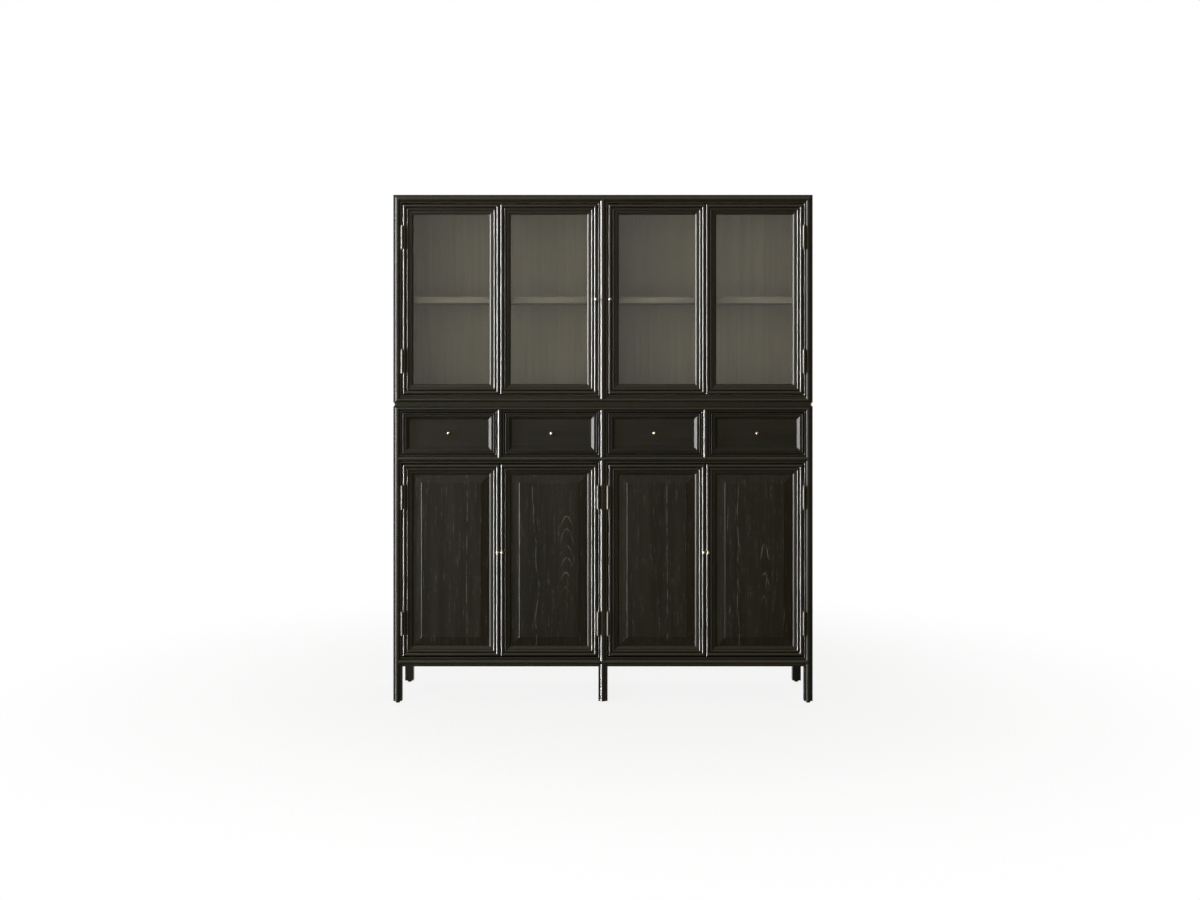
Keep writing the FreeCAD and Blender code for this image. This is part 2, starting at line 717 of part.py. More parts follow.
# Hinges: one modelled at the bottom of a lower door and one of an upper door, the rest mirrored.
hinge_sets = {"fixed": [], "pin": []}
door_leaves = {}
for unit, low, tall in (
    ("lower", "doors_low + door_gap", "lower_door_tall"),
    ("upper", "lights_low + door_gap", "upper_door_tall"),
):
    parts = hinge(unit + "_hinge", "%s + hinge_from_end - hinge_length / 2" % low)
    pairs = {}
    for kind, piece in zip(("fixed", "moving", "pin"), parts):
        mark = "%s_%s_hinge" % (unit, kind)
        second = mirror(mark + "_high", piece, "z", "%s + %s / 2" % (low, tall))
        pairs[kind] = group(mark + "_pair", [piece, second])
    door_leaves[unit] = pairs["moving"]
    for kind in ("fixed", "pin"):
        mark = "%s_%s_hinge" % (unit, kind)
        around = [pairs[kind]]
        if unit == "lower":
            around.append(mirror(mark + "_inner", pairs[kind], "x", "bay_middle"))
        for index, piece in enumerate(around):
            hinge_sets[kind] += [piece, both_sides("%s_other_%d" % (mark, index), piece)]
keep("hinge_fixed_leaves", group("hinge_fixed_set", hinge_sets["fixed"]))
keep("hinge_pins", group("hinge_pin_set", hinge_sets["pin"]))

# Upper left door: two glazed frames side by side, and its mirror image on the right.
light_x = "bay_left + door_gap"
light_z = "lights_low + door_gap"
light_section = door_section(glazing_rebate())
light = mitred_frame(
    "light_frame", light_section, "upper_light_width", "upper_door_tall", "frame_face", "door_board"
)
place(light, light_x, "door_front", light_z)
stop_depth = "door_board - rebate_depth - glass_board"
stop_section = [
    ("0", stop_depth),
    ("0", "0"),
    ("rebate_width", "0"),
    ("rebate_width", stop_depth),
]
stops = mitred_frame(
    "glass_stop",
    stop_section,
    "upper_light_width - 2 * rebate_edge",
    "upper_door_tall - 2 * rebate_edge",
    "rebate_width",
    stop_depth,
)
stop_y = "door_front + rebate_depth + glass_board"
place(stops, light_x + " + rebate_edge", stop_y, light_z + " + rebate_edge")
glass_edge = "rebate_edge + glass_play"
glass = board(
    "pane",
    (light_x + " + " + glass_edge, "%s + upper_light_width - (%s)" % (light_x, glass_edge)),
    ("door_front + rebate_depth", "door_front + rebate_depth + glass_board"),
    (light_z + " + " + glass_edge, "%s + upper_door_tall - (%s)" % (light_z, glass_edge)),
)
second = [mirror("second_" + piece.Name, piece, "x", "bay_middle") for piece in (light, stops, glass)]
upper_knob_x = "bay_right - door_gap - outer_bead / 2"
knob_y = "door_front - knob_seat"
upper_door = {
    "frame": group("upper_frame_pair", [light, second[0], stops, second[1]]),
    "glass": group("upper_glass_pair", [glass, second[2]]),
    "knob": knob("upper_knob", upper_knob_x, knob_y, "%s + upper_door_tall / 2" % light_z),
    "hinge_leaves": door_leaves["upper"],
}
for piece_name, piece in upper_door.items():
    keep("upper_left_door_" + piece_name, piece)
    keep("upper_right_door_" + piece_name, both_sides("upper_right_" + piece_name, piece))

# Lower doors: a grooved frame round a raised panel, modelled once and mirrored three times.
door_x = "bay_left + door_gap"
door_z = "doors_low + door_gap"
panel_section = door_section(panel_groove())
door_frame = mitred_frame(
    "panel_frame", panel_section, "lower_door_width", "lower_door_tall", "frame_face", "door_board"
)
place(door_frame, door_x, "door_front", door_z)


def inset_span(start, whole, inset):
    return ("%s + %s" % (start, inset), "%s + %s - (%s)" % (start, whole, inset))


# A block with four sloping sides on the panel's face, between two heights above its tongue.
def raised_block(label, edge, slope_width, low, high):
    block = doc.addObject("Part::Wedge", label)
    inner = "(%s + %s)" % (edge, slope_width)
    bind(block, Xmin=edge, Xmax="lower_door_width - (%s)" % edge)
    bind(block, X2min=inner, X2max="lower_door_width - " + inner)
    bind(block, Zmin="-(lower_door_tall - (%s))" % edge, Zmax="-(%s)" % edge)
    bind(block, Z2min="-(lower_door_tall - %s)" % inner, Z2max="-" + inner)
    bind(block, Ymin="%s - rebate_depth" % low, Ymax="%s - rebate_depth" % high)
    block.Placement.Rotation = FreeCAD.Rotation(FreeCAD.Vector(1, 0, 0), 180)
    return place(block, door_x, "door_front", door_z)


tongue_edge = "rebate_edge + panel_play"
tongue_y = ("door_front + rebate_depth", "door_front + rebate_depth + panel_edge")
tongue = board(
    "panel_tongue",
    inset_span(door_x, "lower_door_width", tongue_edge),
    tongue_y,
    inset_span(door_z, "lower_door_tall", tongue_edge),
)
slope = raised_block("panel_slope_block", "frame_face", "panel_slope", "0", "panel_rise")
field = raised_block(
    "panel_field", "frame_face + panel_slope", "field_chamfer", "panel_rise", "panel_rise + field_step"
)
lower_knob_x = "bay_middle - door_gap / 2 - outer_bead / 2"
lower_knob_z = door_z + " + lower_door_tall / 2 + lower_knob_above_middle"
lower_door = {
    "frame": door_frame,
    "panel": fuse("raised_panel", [tongue, slope, field]),
    "knob": knob("lower_knob", lower_knob_x, knob_y, lower_knob_z),
    "hinge_leaves": door_leaves["lower"],
}
for piece_name, piece in lower_door.items():
    inner = mirror("lower_inner_" + piece_name, piece, "x", "bay_middle")
    keep("lower_door_1_" + piece_name, piece)
    keep("lower_door_2_" + piece_name, inner)
    keep("lower_door_3_" + piece_name, both_sides("lower_3_" + piece_name, inner))
    keep("lower_door_4_" + piece_name, both_sides("lower_4_" + piece_name, piece))

# Drawers: bordered front with a sunk panel, box of two sides, back and bottom, and a knob.
drawer_x = "bay_left + door_gap"
drawer_z = "drawers_low + door_gap"
border = mitred_frame(
    "drawer_border", drawer_section(), "drawer_width", "drawer_tall", "border_face", "drawer_board"
)
place(border, drawer_x, "door_front", drawer_z)
sunk_edge = "border_face - drawer_tongue + drawer_panel_play"
sunk_y = ("door_front + border_low", "door_front + border_low + drawer_panel_edge")
sunk_panel = board(
    "drawer_panel",
    inset_span(drawer_x, "drawer_width", sunk_edge),
    sunk_y,
    inset_span(drawer_z, "drawer_tall", sunk_edge),
)
box_y = ("box_front", "box_front + box_length")
box_z = ("box_low", "box_low + box_tall")
box_inner = ("box_left + box_side", "box_right - box_side")
left_side = board("drawer_side", ("box_left", "box_left + box_side"), box_y, box_z)
right_side = board("drawer_other_side", ("box_right - box_side", "box_right"), box_y, box_z)
back_y = ("box_front + box_length - box_side", "box_front + box_length")
box_back = board("drawer_back", box_inner, back_y, box_z)
bottom_z = ("box_low + box_groove", "box_low + box_groove + box_bottom")
box_base = board("drawer_bottom", box_inner, ("box_front", back_y[0]), bottom_z)
drawer = {
    "front": group("drawer_front_set", [border, sunk_panel]),
    "box": group("drawer_box_set", [left_side, right_side, box_back, box_base]),
    "knob": knob(
        "drawer_knob",
        drawer_x + " + drawer_width / 2",
        "door_front + border_low - knob_seat",
        drawer_z + " + drawer_tall / 2",
    ),
}
for piece_name, piece in drawer.items():
    inner = mirror("drawer_inner_" + piece_name, piece, "x", "bay_middle")
    keep("drawer_1_" + piece_name, piece)
    keep("drawer_2_" + piece_name, inner)
    keep("drawer_3_" + piece_name, both_sides("drawer_third_" + piece_name, inner))
    keep("drawer_4_" + piece_name, both_sides("drawer_fourth_" + piece_name, piece))

doc.recompute()

# Every object has to be sound before anything is written.
for thing in doc.Objects:
    if "Invalid" in thing.State or "Error" in thing.State:
        raise RuntimeError("%s failed: %s" % (thing.Name, thing.State))
for node in nodes:
    if node.Shape.isNull() or not node.Shape.isValid():
        raise RuntimeError("%s has no sound shape" % node.Label)
    node.Shape.exportStep("parts/%s.step" % node.Label)
    print("%-32s solids %2d  volume %12.1f" % (node.Label, len(node.Shape.Solids), node.Shape.Volume))
print("nodes:", len(nodes))
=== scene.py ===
import json
import math
import bmesh
import bpy
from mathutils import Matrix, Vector


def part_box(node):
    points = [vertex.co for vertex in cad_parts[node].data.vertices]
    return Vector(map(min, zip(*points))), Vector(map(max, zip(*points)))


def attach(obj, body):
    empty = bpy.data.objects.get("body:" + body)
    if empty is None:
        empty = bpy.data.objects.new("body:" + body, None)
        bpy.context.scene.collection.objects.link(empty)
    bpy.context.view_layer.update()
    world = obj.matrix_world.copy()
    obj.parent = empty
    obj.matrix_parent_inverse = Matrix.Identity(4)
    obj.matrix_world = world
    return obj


# China cabinet: lacquered wood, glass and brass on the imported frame, with its studio and camera.
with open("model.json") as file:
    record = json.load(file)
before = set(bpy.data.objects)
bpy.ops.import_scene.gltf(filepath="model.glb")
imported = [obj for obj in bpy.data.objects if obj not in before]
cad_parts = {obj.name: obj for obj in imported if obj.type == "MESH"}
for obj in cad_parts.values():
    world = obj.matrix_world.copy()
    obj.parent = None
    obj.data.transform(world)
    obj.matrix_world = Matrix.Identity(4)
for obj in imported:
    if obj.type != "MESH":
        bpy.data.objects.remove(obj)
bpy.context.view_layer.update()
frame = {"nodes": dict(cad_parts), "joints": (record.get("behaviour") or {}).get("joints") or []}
nodes = frame["nodes"]
print("frame loaded,", len(nodes), "nodes")


# one socket of a node tree, so that shader maths reads as plain expressions
class Wire:
    def __init__(self, tree, socket=None):
        self.tree = tree
        self.socket = socket

    # any node: its type, settings (set first), sockets, and the output or outputs wanted
    def node(self, kind, settings=None, sockets=None, output=0):
        made = self.tree.nodes.new(kind)
        for name, value in (settings or {}).items():
            setattr(made, name, value)
        for name, value in (sockets or {}).items():
            socket = made.inputs[name]
            if isinstance(value, Wire):
                self.tree.links.new(value.socket, socket)
            else:
                socket.default_value = (*value, 1.0) if socket.type == "RGBA" else value
        if not made.outputs:
            return None
        if isinstance(output, tuple):
            return [Wire(self.tree, made.outputs[one]) for one in output]
        return Wire(self.tree, made.outputs[output])

    def maths(self, operation, *values):
        return self.node("ShaderNodeMath", {"operation": operation}, dict(enumerate(values)))

    def __add__(self, other):
        return self.maths("ADD", self, other)

    def __radd__(self, other):
        return self.maths("ADD", other, self)

    def __sub__(self, other):
        return self.maths("SUBTRACT", self, other)

    def __rsub__(self, other):
        return self.maths("SUBTRACT", other, self)

    def __mul__(self, other):
        return self.maths("MULTIPLY", self, other)

    def __rmul__(self, other):
        return self.maths("MULTIPLY", other, self)

    def __truediv__(self, other):
        return self.maths("DIVIDE", self, other)

    def __lt__(self, other):
        return self.maths("LESS_THAN", self, other)

    def __gt__(self, other):
        return self.maths("GREATER_THAN", self, other)

    def __abs__(self):
        return self.maths("ABSOLUTE", self)

    def root(self):
        return self.maths("SQRT", self)

    def fraction(self):
        return self.maths("FRACT", self)

    def larger(self, other):
        return self.maths("MAXIMUM", self, other)

    def smaller(self, other):
        return self.maths("MINIMUM", self, other)

    # 0 to 1 between two levels, with a soft start and end
    def ease(self, low, high):
        levels = {"Value": self, "From Min": low, "From Max": high}
        return self.node("ShaderNodeMapRange", {"interpolation_type": "SMOOTHSTEP"}, levels)

    # first colour where this is 0, second where it is 1
    def colours(self, first, second):
        return self.node("ShaderNodeMix", {"data_type": "RGBA"}, {0: self, 6: first, 7: second}, 2)

    # noise with its own number of spots per metre along each of three axes
    def noise(self, axes, perMetre, detail=2.0):
        places = {step: axis * perMetre[step] for step, axis in enumerate(axes)}
        spots = self.node("ShaderNodeCombineXYZ", {}, places)
        return self.node("ShaderNodeTexNoise", {}, {"Vector": spots, "Scale": 1.0, "Detail": detail})

    # x, y and z in the shared frame, in metres
    def place(self):
        spot = self.node("ShaderNodeTexCoord", {}, {}, "Object")
        return self.node("ShaderNodeSeparateXYZ", {}, {0: spot}, (0, 1, 2))

    def rays(self, kind):
        return self.node("ShaderNodeLightPath", {}, {}, "Is %s Ray" % kind)

    # the rays that meet the plain white background
    def plainRays(self):
        return self.rays("Camera").larger(self.rays("Transmission"))


def newMaterial(name):
    made = bpy.data.materials.new(name)
    made.use_nodes = True
    made.node_tree.nodes.clear()
    return made, Wire(made.node_tree)


def finishWith(tree, sockets):
    shader = tree.node("ShaderNodeBsdfPrincipled", {}, sockets)
    tree.node("ShaderNodeOutputMaterial", {}, {"Surface": shader})


def dress(material, *names):
    for name in names:
        nodes[name].material_slots[0].material = material


# stains and lacquers, as linear colours and lengths in metres
lacquer = {
    "dense": (0.0072, 0.0066, 0.0028),
    "warm": (0.0128, 0.0096, 0.0056),
    "pore": (0.070, 0.064, 0.050),
    # lighter edges: wear and a painted highlight line along them
    "edgeWearAndHighlight": (0.030, 0.026, 0.020),
    "poreShare": 0.16,
    "bunching": 0.0,  # 0 for even pores, towards 1 for pores in short dashes
    "roughness": 0.30,
    "specular": 0.50,
    "coat": 1.0,
    "coatRoughness": 0.22,
    "softEdge": 0.0009,
    "poreDepth": 0.00006,
    # painted shade in grooves and recesses, and how far it reaches
    "paintedGrooveShade": (0.0012, 0.0011, 0.0008),
    "paintedShadeReach": 0.008,
    "satinRoughness": 0.45,
}

panelLacquer = {
    **lacquer,
    "pore": (0.110, 0.095, 0.076),
    # lighter edges: wear and a painted highlight line along them
    "edgeWearAndHighlight": (0.060, 0.053, 0.043),
    "poreShare": 0.36,
    "bunching": 0.7,
    "roughness": 0.46,
    "specular": 0.27,
    "coat": 0.08,
    "coatRoughness": 0.25,
    "softEdge": 0.0008,
}
caseLacquer = {**panelLacquer, "specular": 0.50}
drawerLacquer = {**lacquer, "coat": 0.0, "roughness": 0.42, "specular": 0.40}

insideStain = {
    "dense": (0.125, 0.112, 0.079),
    "warm": (0.155, 0.138, 0.100),
    "pore": (0.090, 0.080, 0.056),
    # lighter edges: wear and a painted highlight line along them
    "edgeWearAndHighlight": (0.180, 0.160, 0.120),
    "poreShare": 0.55,
    "bunching": 0.0,
    "roughness": 0.60,
    "specular": 0.05,
    "coat": 0.0,
    "coatRoughness": 0.30,
    "softEdge": 0.0009,
    "poreDepth": 0.0002,
    # painted shade in grooves and recesses, and how far it reaches
    "paintedGrooveShade": (0.020, 0.018, 0.013),
    "paintedShadeReach": 0.012,
}

shelfStain = {
    **insideStain,
    "dense": (0.100, 0.092, 0.072),
    "warm": (0.125, 0.114, 0.090),
    "pore": (0.160, 0.145, 0.115),
}

# spots per metre across, through and along the grain, and the levels between which they show
grain = {
    "streaks": (85, 85, 1.5),
    "drift": (7, 7, 0.9),
    "streakShare": 0.55,  # the drift has the rest of the tone
    "toneLevels": (0.38, 0.64),
    "dashes": (360, 40, 7),
    "dashLevels": (0.56, 0.72),
    "flecks": (600, 60, 90),
    "fleckLevels": (0.38, 0.64),
    "bunches": (130, 20, 16),
    "bunchLevels": (0.42, 0.66),
    "streakRoughness": 0.12,
    "poreRoughness": 0.25,
    "poreCoatLoss": 0.6,
}


# colour, roughness, coat and pores of one stained board
def boardLook(tree, look, axes, drawn=None):
    streaks = tree.noise(axes, grain["streaks"], 3.0)
    drift = tree.noise(axes, grain["drift"], 1.0)
    tone = grain["streakShare"] * streaks + (1 - grain["streakShare"]) * drift
    stained = tone.ease(*grain["toneLevels"]).colours(look["dense"], look["warm"])
    dashes = tree.noise(axes, grain["dashes"], 1.0).ease(*grain["dashLevels"])
    flecks = tree.noise(axes, grain["flecks"], 1.0).ease(*grain["fleckLevels"])
    pores = dashes * flecks * look["poreShare"]
    if look["bunching"]:
        bunches = tree.noise(axes, grain["bunches"], 2.0).ease(*grain["bunchLevels"])
        pores = pores * (1 - look["bunching"] + 2 * look["bunching"] * bunches)
    if drawn:  # lines of a flat-sawn figure
        pores = pores.larger(drawn)
    colour = pores.colours(stained, look["pore"])
    roughness = look["roughness"] + grain["streakRoughness"] * (streaks - 0.5)
    roughness = roughness + grain["poreRoughness"] * pores
    coat = look["coat"] - grain["poreCoatLoss"] * look["coat"] * pores
    return colour, roughness, coat, pores


# lines of a flat-sawn board, in metres and in spots per metre
figureLines = {
    "sway": (2, 2, 3),
    "swayBy": 0.03,
    "uneven": (3, 2, 7),
    "unevenBy": 1.6,  # in lines
    "archLevels": (0.84, 0.97),
    "fadeAbove": 0.04,
    "fadeBelow": 0.20,
    "waver": (4.5, 2, 0.1),
    "waverApart": 900,  # so that no two strays waver alike
    "strayEdge": (0.0006, 0.0020),
    "breaks": (60, 60, 25),
    "breakLevels": (0.36, 0.60),
    "share": 0.70,
}


# nested arches up one line of a panel
def archLines(tree, axes, centre, arches):
    across, through, along = axes
    sway = tree.noise(axes, figureLines["sway"], 1.0) - 0.5
    aside = across - centre - figureLines["swayBy"] * sway
    spread = aside / arches["width"]
    uneven = tree.noise(axes, figureLines["uneven"]) - 0.5
    count = arches["steep"] * (1 + spread * spread).root() + arches["perMetre"] * along
    count = count + figureLines["unevenBy"] * uneven
    lines = (abs(count.fraction() - 0.5) * 2).ease(*figureLines["archLevels"])
    lines = lines * (1 - abs(aside).ease(arches["reach"] / 2, arches["reach"]))
    lines = lines * (1 - along.ease(arches["high"] - figureLines["fadeAbove"], arches["high"]))
    return lines * along.ease(arches["low"] - figureLines["fadeBelow"], arches["low"])


# one long wavering line, with or without arches beside it
def flatSawn(tree, axes, figure):
    across, through, along = axes
    stray = figure["middle"] + figure["stray"]
    shifted = along + stray * figureLines["waverApart"]
    waver = tree.noise((along, through, shifted), figureLines["waver"]) - 0.5
    lines = 1 - abs(across - stray - figure["waver"] * waver).ease(*figureLines["strayEdge"])
    if "arches" in figure:
        centre = figure["middle"] + figure["arches"]["centre"]
        lines = lines.larger(archLines(tree, axes, centre, figure["arches"]))
    broken = tree.noise(axes, figureLines["breaks"]).ease(*figureLines["breakLevels"])
    return lines * broken * figureLines["share"]


# rubbed edges lightened as wear and as a painted highlight line, and painted shade darkening the grooves
edges = {
    "bevelSamples": 8,
    "rubbed": (60, 60, 60),
    "rubbedLevels": (0.40, 0.65),
    "turnLevels": (0.02, 0.20),
    # painted shade in the grooves: samples, levels and the share of coat kept there
    "paintedShadeSamples": 6,
    "paintedShadeLevels": (0.30, 0.85),
    "coatInPaintedShade": 0.25,
    "poreStrength": 0.5,
    "coatIor": 1.6,
}


def woodFinish(name, axesOf, look, figure=None, inward=None, satin=None):
    material, tree = newMaterial(name)
    axes = axesOf(tree)
    place = tree.place()
    drawn = flatSawn(tree, axes, figure) if figure else None
    colour, roughness, coat, pores = boardLook(tree, look, axes, drawn)
    if inward:  # the face towards the inside has the paler stain
        inside = inward(*place)
        paleColour, paleRoughness, paleCoat = boardLook(tree, insideStain, axes)[:3]
        colour = inside.colours(colour, paleColour)
        roughness = roughness + inside * (paleRoughness - roughness)
        coat = coat + inside * (paleCoat - coat)
    rounded = tree.node("ShaderNodeBevel", {"samples": edges["bevelSamples"]}, {"Radius": look["softEdge"]})
    faceNormal = tree.node("ShaderNodeNewGeometry", {}, {}, "True Normal")
    bothNormals = {0: rounded, 1: faceNormal}
    turned = tree.node("ShaderNodeVectorMath", {"operation": "DOT_PRODUCT"}, bothNormals, 1)
    # edges lighter where the rounded normal turns: partly wear, partly a painted highlight line
    rubbed = tree.noise(place, edges["rubbed"], 3.0).ease(*edges["rubbedLevels"])
    edgeWearAndHighlightMask = (1 - turned).ease(*edges["turnLevels"]) * rubbed
    colour = edgeWearAndHighlightMask.colours(colour, look["edgeWearAndHighlight"])
    # painted shade: colour darkens and coat thins where occlusion finds grooves and recesses
    reach = {"Distance": look["paintedShadeReach"]}
    clearOfPaintedShade = tree.node("ShaderNodeAmbientOcclusion", {"samples": edges["paintedShadeSamples"]}, reach, "AO")
    clearOfPaintedShade = clearOfPaintedShade.ease(*edges["paintedShadeLevels"])
    colour = clearOfPaintedShade.colours(look["paintedGrooveShade"], colour)
    coat = coat * (edges["coatInPaintedShade"] + (1 - edges["coatInPaintedShade"]) * clearOfPaintedShade)
    if satin:  # some faces are rubbed down to satin
        dull = satin(*place)
        coat = coat * (1 - dull)
        roughness = roughness + dull * (look["satinRoughness"] - roughness)
    finishWith(tree, {
        "Base Color": colour,
        "Roughness": roughness,
        "Specular IOR Level": look["specular"],
        "Coat Weight": coat,
        "Coat Roughness": look["coatRoughness"],
        "Coat IOR": edges["coatIor"],
        "Normal": tree.node("ShaderNodeBump", {}, {
            "Height": 1 - pores,
            "Strength": edges["poreStrength"],
            "Distance": look["poreDepth"],
            "Normal": rounded,
        }),
    })
    return material


# where one member of a node ends and the next begins, in metres
member = {
    "sideRailFrom": 0.888,  # from the middle
    "cornerPostFrom": 0.5,  # from the middle
    "sidePanelSkin": 0.006,  # from the outer face
    "drawerBorder": 0.029,
    "sightEdgeFrom": 0.0405,  # from a frame's outer edge to its lip
}


# how far in from the outer edges of a frame, or of each of two frames side by side
def fromEdges(node, x, z, lights):
    low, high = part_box(node)
    middle = (low + high) / 2
    half = (high - low) / 2
    fromMiddle = abs(x - middle.x)
    if lights == 2:
        fromMiddle = abs(fromMiddle - half.x / 2)
    return half.x / lights - fromMiddle, half.z - abs(z - middle.z)


# how the grain runs in each kind of member: the axes across, through and along it
def uprightGrain(tree):
    return tree.place()


def lyingGrain(tree):
    x, y, z = tree.place()
    return z, y, x


def deepGrain(tree):
    x, y, z = tree.place()
    return x, z, y


# side rails run back, the others across
def caseRailGrain(tree):
    x, y, z = tree.place()
    side = abs(x) > member["sideRailFrom"]
    return z + side * (x - z), y + side * (z - y), x + side * (y - x)


# stiles run up and rails across, with mitres between them
def frameGrain(node, lights=1, border=None):
    def axes(tree):
        x, y, z = tree.place()
        toSide, toEnd = fromEdges(node, x, z, lights)
        stile = toSide < toEnd
        if border:
            stile = stile * (toSide < border)
        return z + stile * (x - z), y, x + stile * (z - x)

    return axes


def sightEdge(node, lights=1):
    def mask(x, y, z):
        toSide, toEnd = fromEdges(node, x, z, lights)
        return toSide.smaller(toEnd) > member["sightEdgeFrom"]

    return mask


def cornerPost(x, y, z):
    return abs(x) > member["cornerPostFrom"]


def middleOf(node):
    low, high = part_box(node)
    return (low + high) / 2


def insideOfSides(x, y, z):
    return abs(x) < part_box("side_panels")[1].x - member["sidePanelSkin"]


def insideOfBack(x, y, z):
    return y < middleOf("back_panels").y


def insideOfTop(x, y, z):
    return z < middleOf("hutch_top").z


# carcass
uprightStain = woodFinish("uprightStain", uprightGrain, lacquer)
dress(uprightStain, "drawer_dividers", "opening_beads", "base_rear_posts", "hutch_rear_posts")
postStain = woodFinish("postStain", uprightGrain, lacquer, satin=cornerPost)
dress(postStain, "base_front_posts", "hutch_front_posts")
lyingStain = woodFinish("lyingStain", lyingGrain, lacquer)
dress(lyingStain, "base_front_rails", "hutch_front_rails", "joining_strip")
dress(woodFinish("deepStain", caseRailGrain, lacquer), "side_and_back_rails")
dress(woodFinish("sidePanelStain", uprightGrain, caseLacquer, inward=insideOfSides), "side_panels")
dress(woodFinish("backPanelStain", uprightGrain, caseLacquer, inward=insideOfBack), "back_panels")
dress(woodFinish("hutchTopStain", lyingGrain, caseLacquer, inward=insideOfTop), "hutch_top")

# inside boards
insideLying = woodFinish("insideLying", lyingGrain, insideStain)
dress(insideLying, "base_floor", "base_top", "drawer_deck", "base_shelves", "hutch_floor")
dress(woodFinish("shelfStain", lyingGrain, shelfStain), "hutch_shelves")
dress(woodFinish("insideUpright", uprightGrain, insideStain), "partitions")
insideDeep = woodFinish("insideDeep", deepGrain, insideStain)
dress(insideDeep, "drawer_guides", *["drawer_%d_box" % count for count in range(1, 5)])
print("carcass stained")

# figure of each lower door's panel: a stray line and arches, both from the panel's middle
panelFigures = {
    1: {"stray": 0.068, "waver": 0.008},
    2: {
        "stray": -0.058,
        "waver": 0.07,
        "arches": {
            "centre": 0.075,
            "width": 0.018,
            "steep": 0.9,
            "perMetre": 16.0,
            "reach": 0.034,
            "high": 0.85,
            "low": 0.60,
        },
    },
    3: {"stray": 0.045, "waver": 0.02},
    4: {
        "stray": -0.07,
        "waver": 0.03,
        "arches": {
            "centre": 0.045,
            "width": 0.018,
            "steep": 0.9,
            "perMetre": 9.0,
            "reach": 0.030,
            "high": 0.7,
            "low": 0.55,
        },
    },
}

# doors and drawers
for count, figure in panelFigures.items():
    panel = "lower_door_%d_panel" % count
    placed = {**figure, "middle": middleOf(panel).x}
    dress(woodFinish(panel + "Stain", uprightGrain, panelLacquer, placed), panel)
    rim = "lower_door_%d_frame" % count
    dress(woodFinish(rim + "Stain", frameGrain(rim), lacquer, satin=sightEdge(rim)), rim)
    front = "drawer_%d_front" % count
    frontGrain = frameGrain(front, border=member["drawerBorder"])
    dress(woodFinish(front + "Stain", frontGrain, drawerLacquer), front)
for side in ("left", "right"):
    leaf = "upper_%s_door_frame" % side
    dress(woodFinish(leaf + "Stain", frameGrain(leaf, 2), lacquer, satin=sightEdge(leaf, 2)), leaf)
print("doors and drawers stained")

pane = {
    "tint": (0.955, 0.95, 0.91),
    "ior": 1.5,
    "smears": (9, 9, 4),
    "smearLevels": (0.45, 0.75),
    "smearRoughness": 0.006,
}


# clear to shadow rays, so that light reaches the shelves
def paneGlass():
    material, tree = newMaterial("paneGlass")
    smears = tree.noise(tree.place(), pane["smears"], 3.0).ease(*pane["smearLevels"])
    glass = tree.node("ShaderNodeBsdfPrincipled", {}, {
        "Base Color": pane["tint"],
        "Roughness": pane["smearRoughness"] * smears,
        "IOR": pane["ior"],
        "Transmission Weight": 1.0,
    })
    clear = tree.node("ShaderNodeBsdfTransparent", {}, {"Color": pane["tint"]})
    surface = tree.node("ShaderNodeMixShader", {}, {0: tree.rays("Shadow"), 1: glass, 2: clear})
    tree.node("ShaderNodeOutputMaterial", {}, {"Surface": surface})
    return material


dress(paneGlass(), "upper_left_door_glass", "upper_right_door_glass")
print("panes glazed")

knobBrass = {
    "bright": (0.95, 0.84, 0.62),
    "tarnished": (0.66, 0.50, 0.30),
    "roughness": 0.28,
    "spots": (240, 240, 240),
    "spotLevels": (0.50, 0.74),
    "spotRoughness": 0.22,
    "brushed": (9000, 9000, 300),
    "brushedRoughness": 0.08,
    "brushedStrength": 0.12,
    "brushedDepth": 0.00003,
}

hingeBrass = {
    **knobBrass,
    "bright": (0.26, 0.248, 0.21),
    "tarnished": (0.14, 0.13, 0.10),
    "roughness": 0.52,
    "spots": (120, 120, 120),
}


def brassFinish(name, look):
    material, tree = newMaterial(name)
    place = tree.place()
    tarnish = tree.noise(place, look["spots"], 4.0).ease(*look["spotLevels"])
    brushed = tree.noise(place, look["brushed"], 1.0)
    rough = look["roughness"] + look["spotRoughness"] * tarnish + look["brushedRoughness"] * brushed
    finishWith(tree, {
        "Base Color": tarnish.colours(look["bright"], look["tarnished"]),
        "Metallic": 1.0,
        "Roughness": rough,
        "Normal": tree.node("ShaderNodeBump", {}, {
            "Height": brushed,
            "Strength": look["brushedStrength"],
            "Distance": look["brushedDepth"],
        }),
    })
    return material


doorNames = ["upper_left_door", "upper_right_door"] + ["lower_door_%d" % count for count in range(1, 5)]
drawerNames = ["drawer_%d" % count for count in range(1, 5)]
dress(brassFinish("knobBrass", knobBrass), *[name + "_knob" for name in doorNames + drawerNames])
hingeMetal = brassFinish("hingeBrass", hingeBrass)
dress(hingeMetal, "hinge_fixed_leaves", "hinge_pins", *[name + "_hinge_leaves" for name in doorNames])

glide = {
    "colour": (0.010, 0.010, 0.009),
    "scuffed": (0.055, 0.052, 0.048),
    "scuffs": (140, 140, 700),
    "scuffLevels": (0.55, 0.70),
    "roughness": 0.45,
    "grains": (1500, 1500, 1500),
    "grainRoughness": 0.2,
    "grainStrength": 0.3,
    "grainDepth": 0.0001,
}


def glideFinish():
    material, tree = newMaterial("glidePlastic")
    place = tree.place()
    grains = tree.noise(place, glide["grains"])
    scuffs = tree.noise(place, glide["scuffs"], 3.0).ease(*glide["scuffLevels"])
    finishWith(tree, {
        "Base Color": scuffs.colours(glide["colour"], glide["scuffed"]),
        "Roughness": glide["roughness"] + glide["grainRoughness"] * grains,
        "Normal": tree.node("ShaderNodeBump", {}, {
            "Height": grains,
            "Strength": glide["grainStrength"],
            "Distance": glide["grainDepth"],
        }),
    })
    return material


dress(glideFinish(), "foot_glides")
print("brass and glides finished")

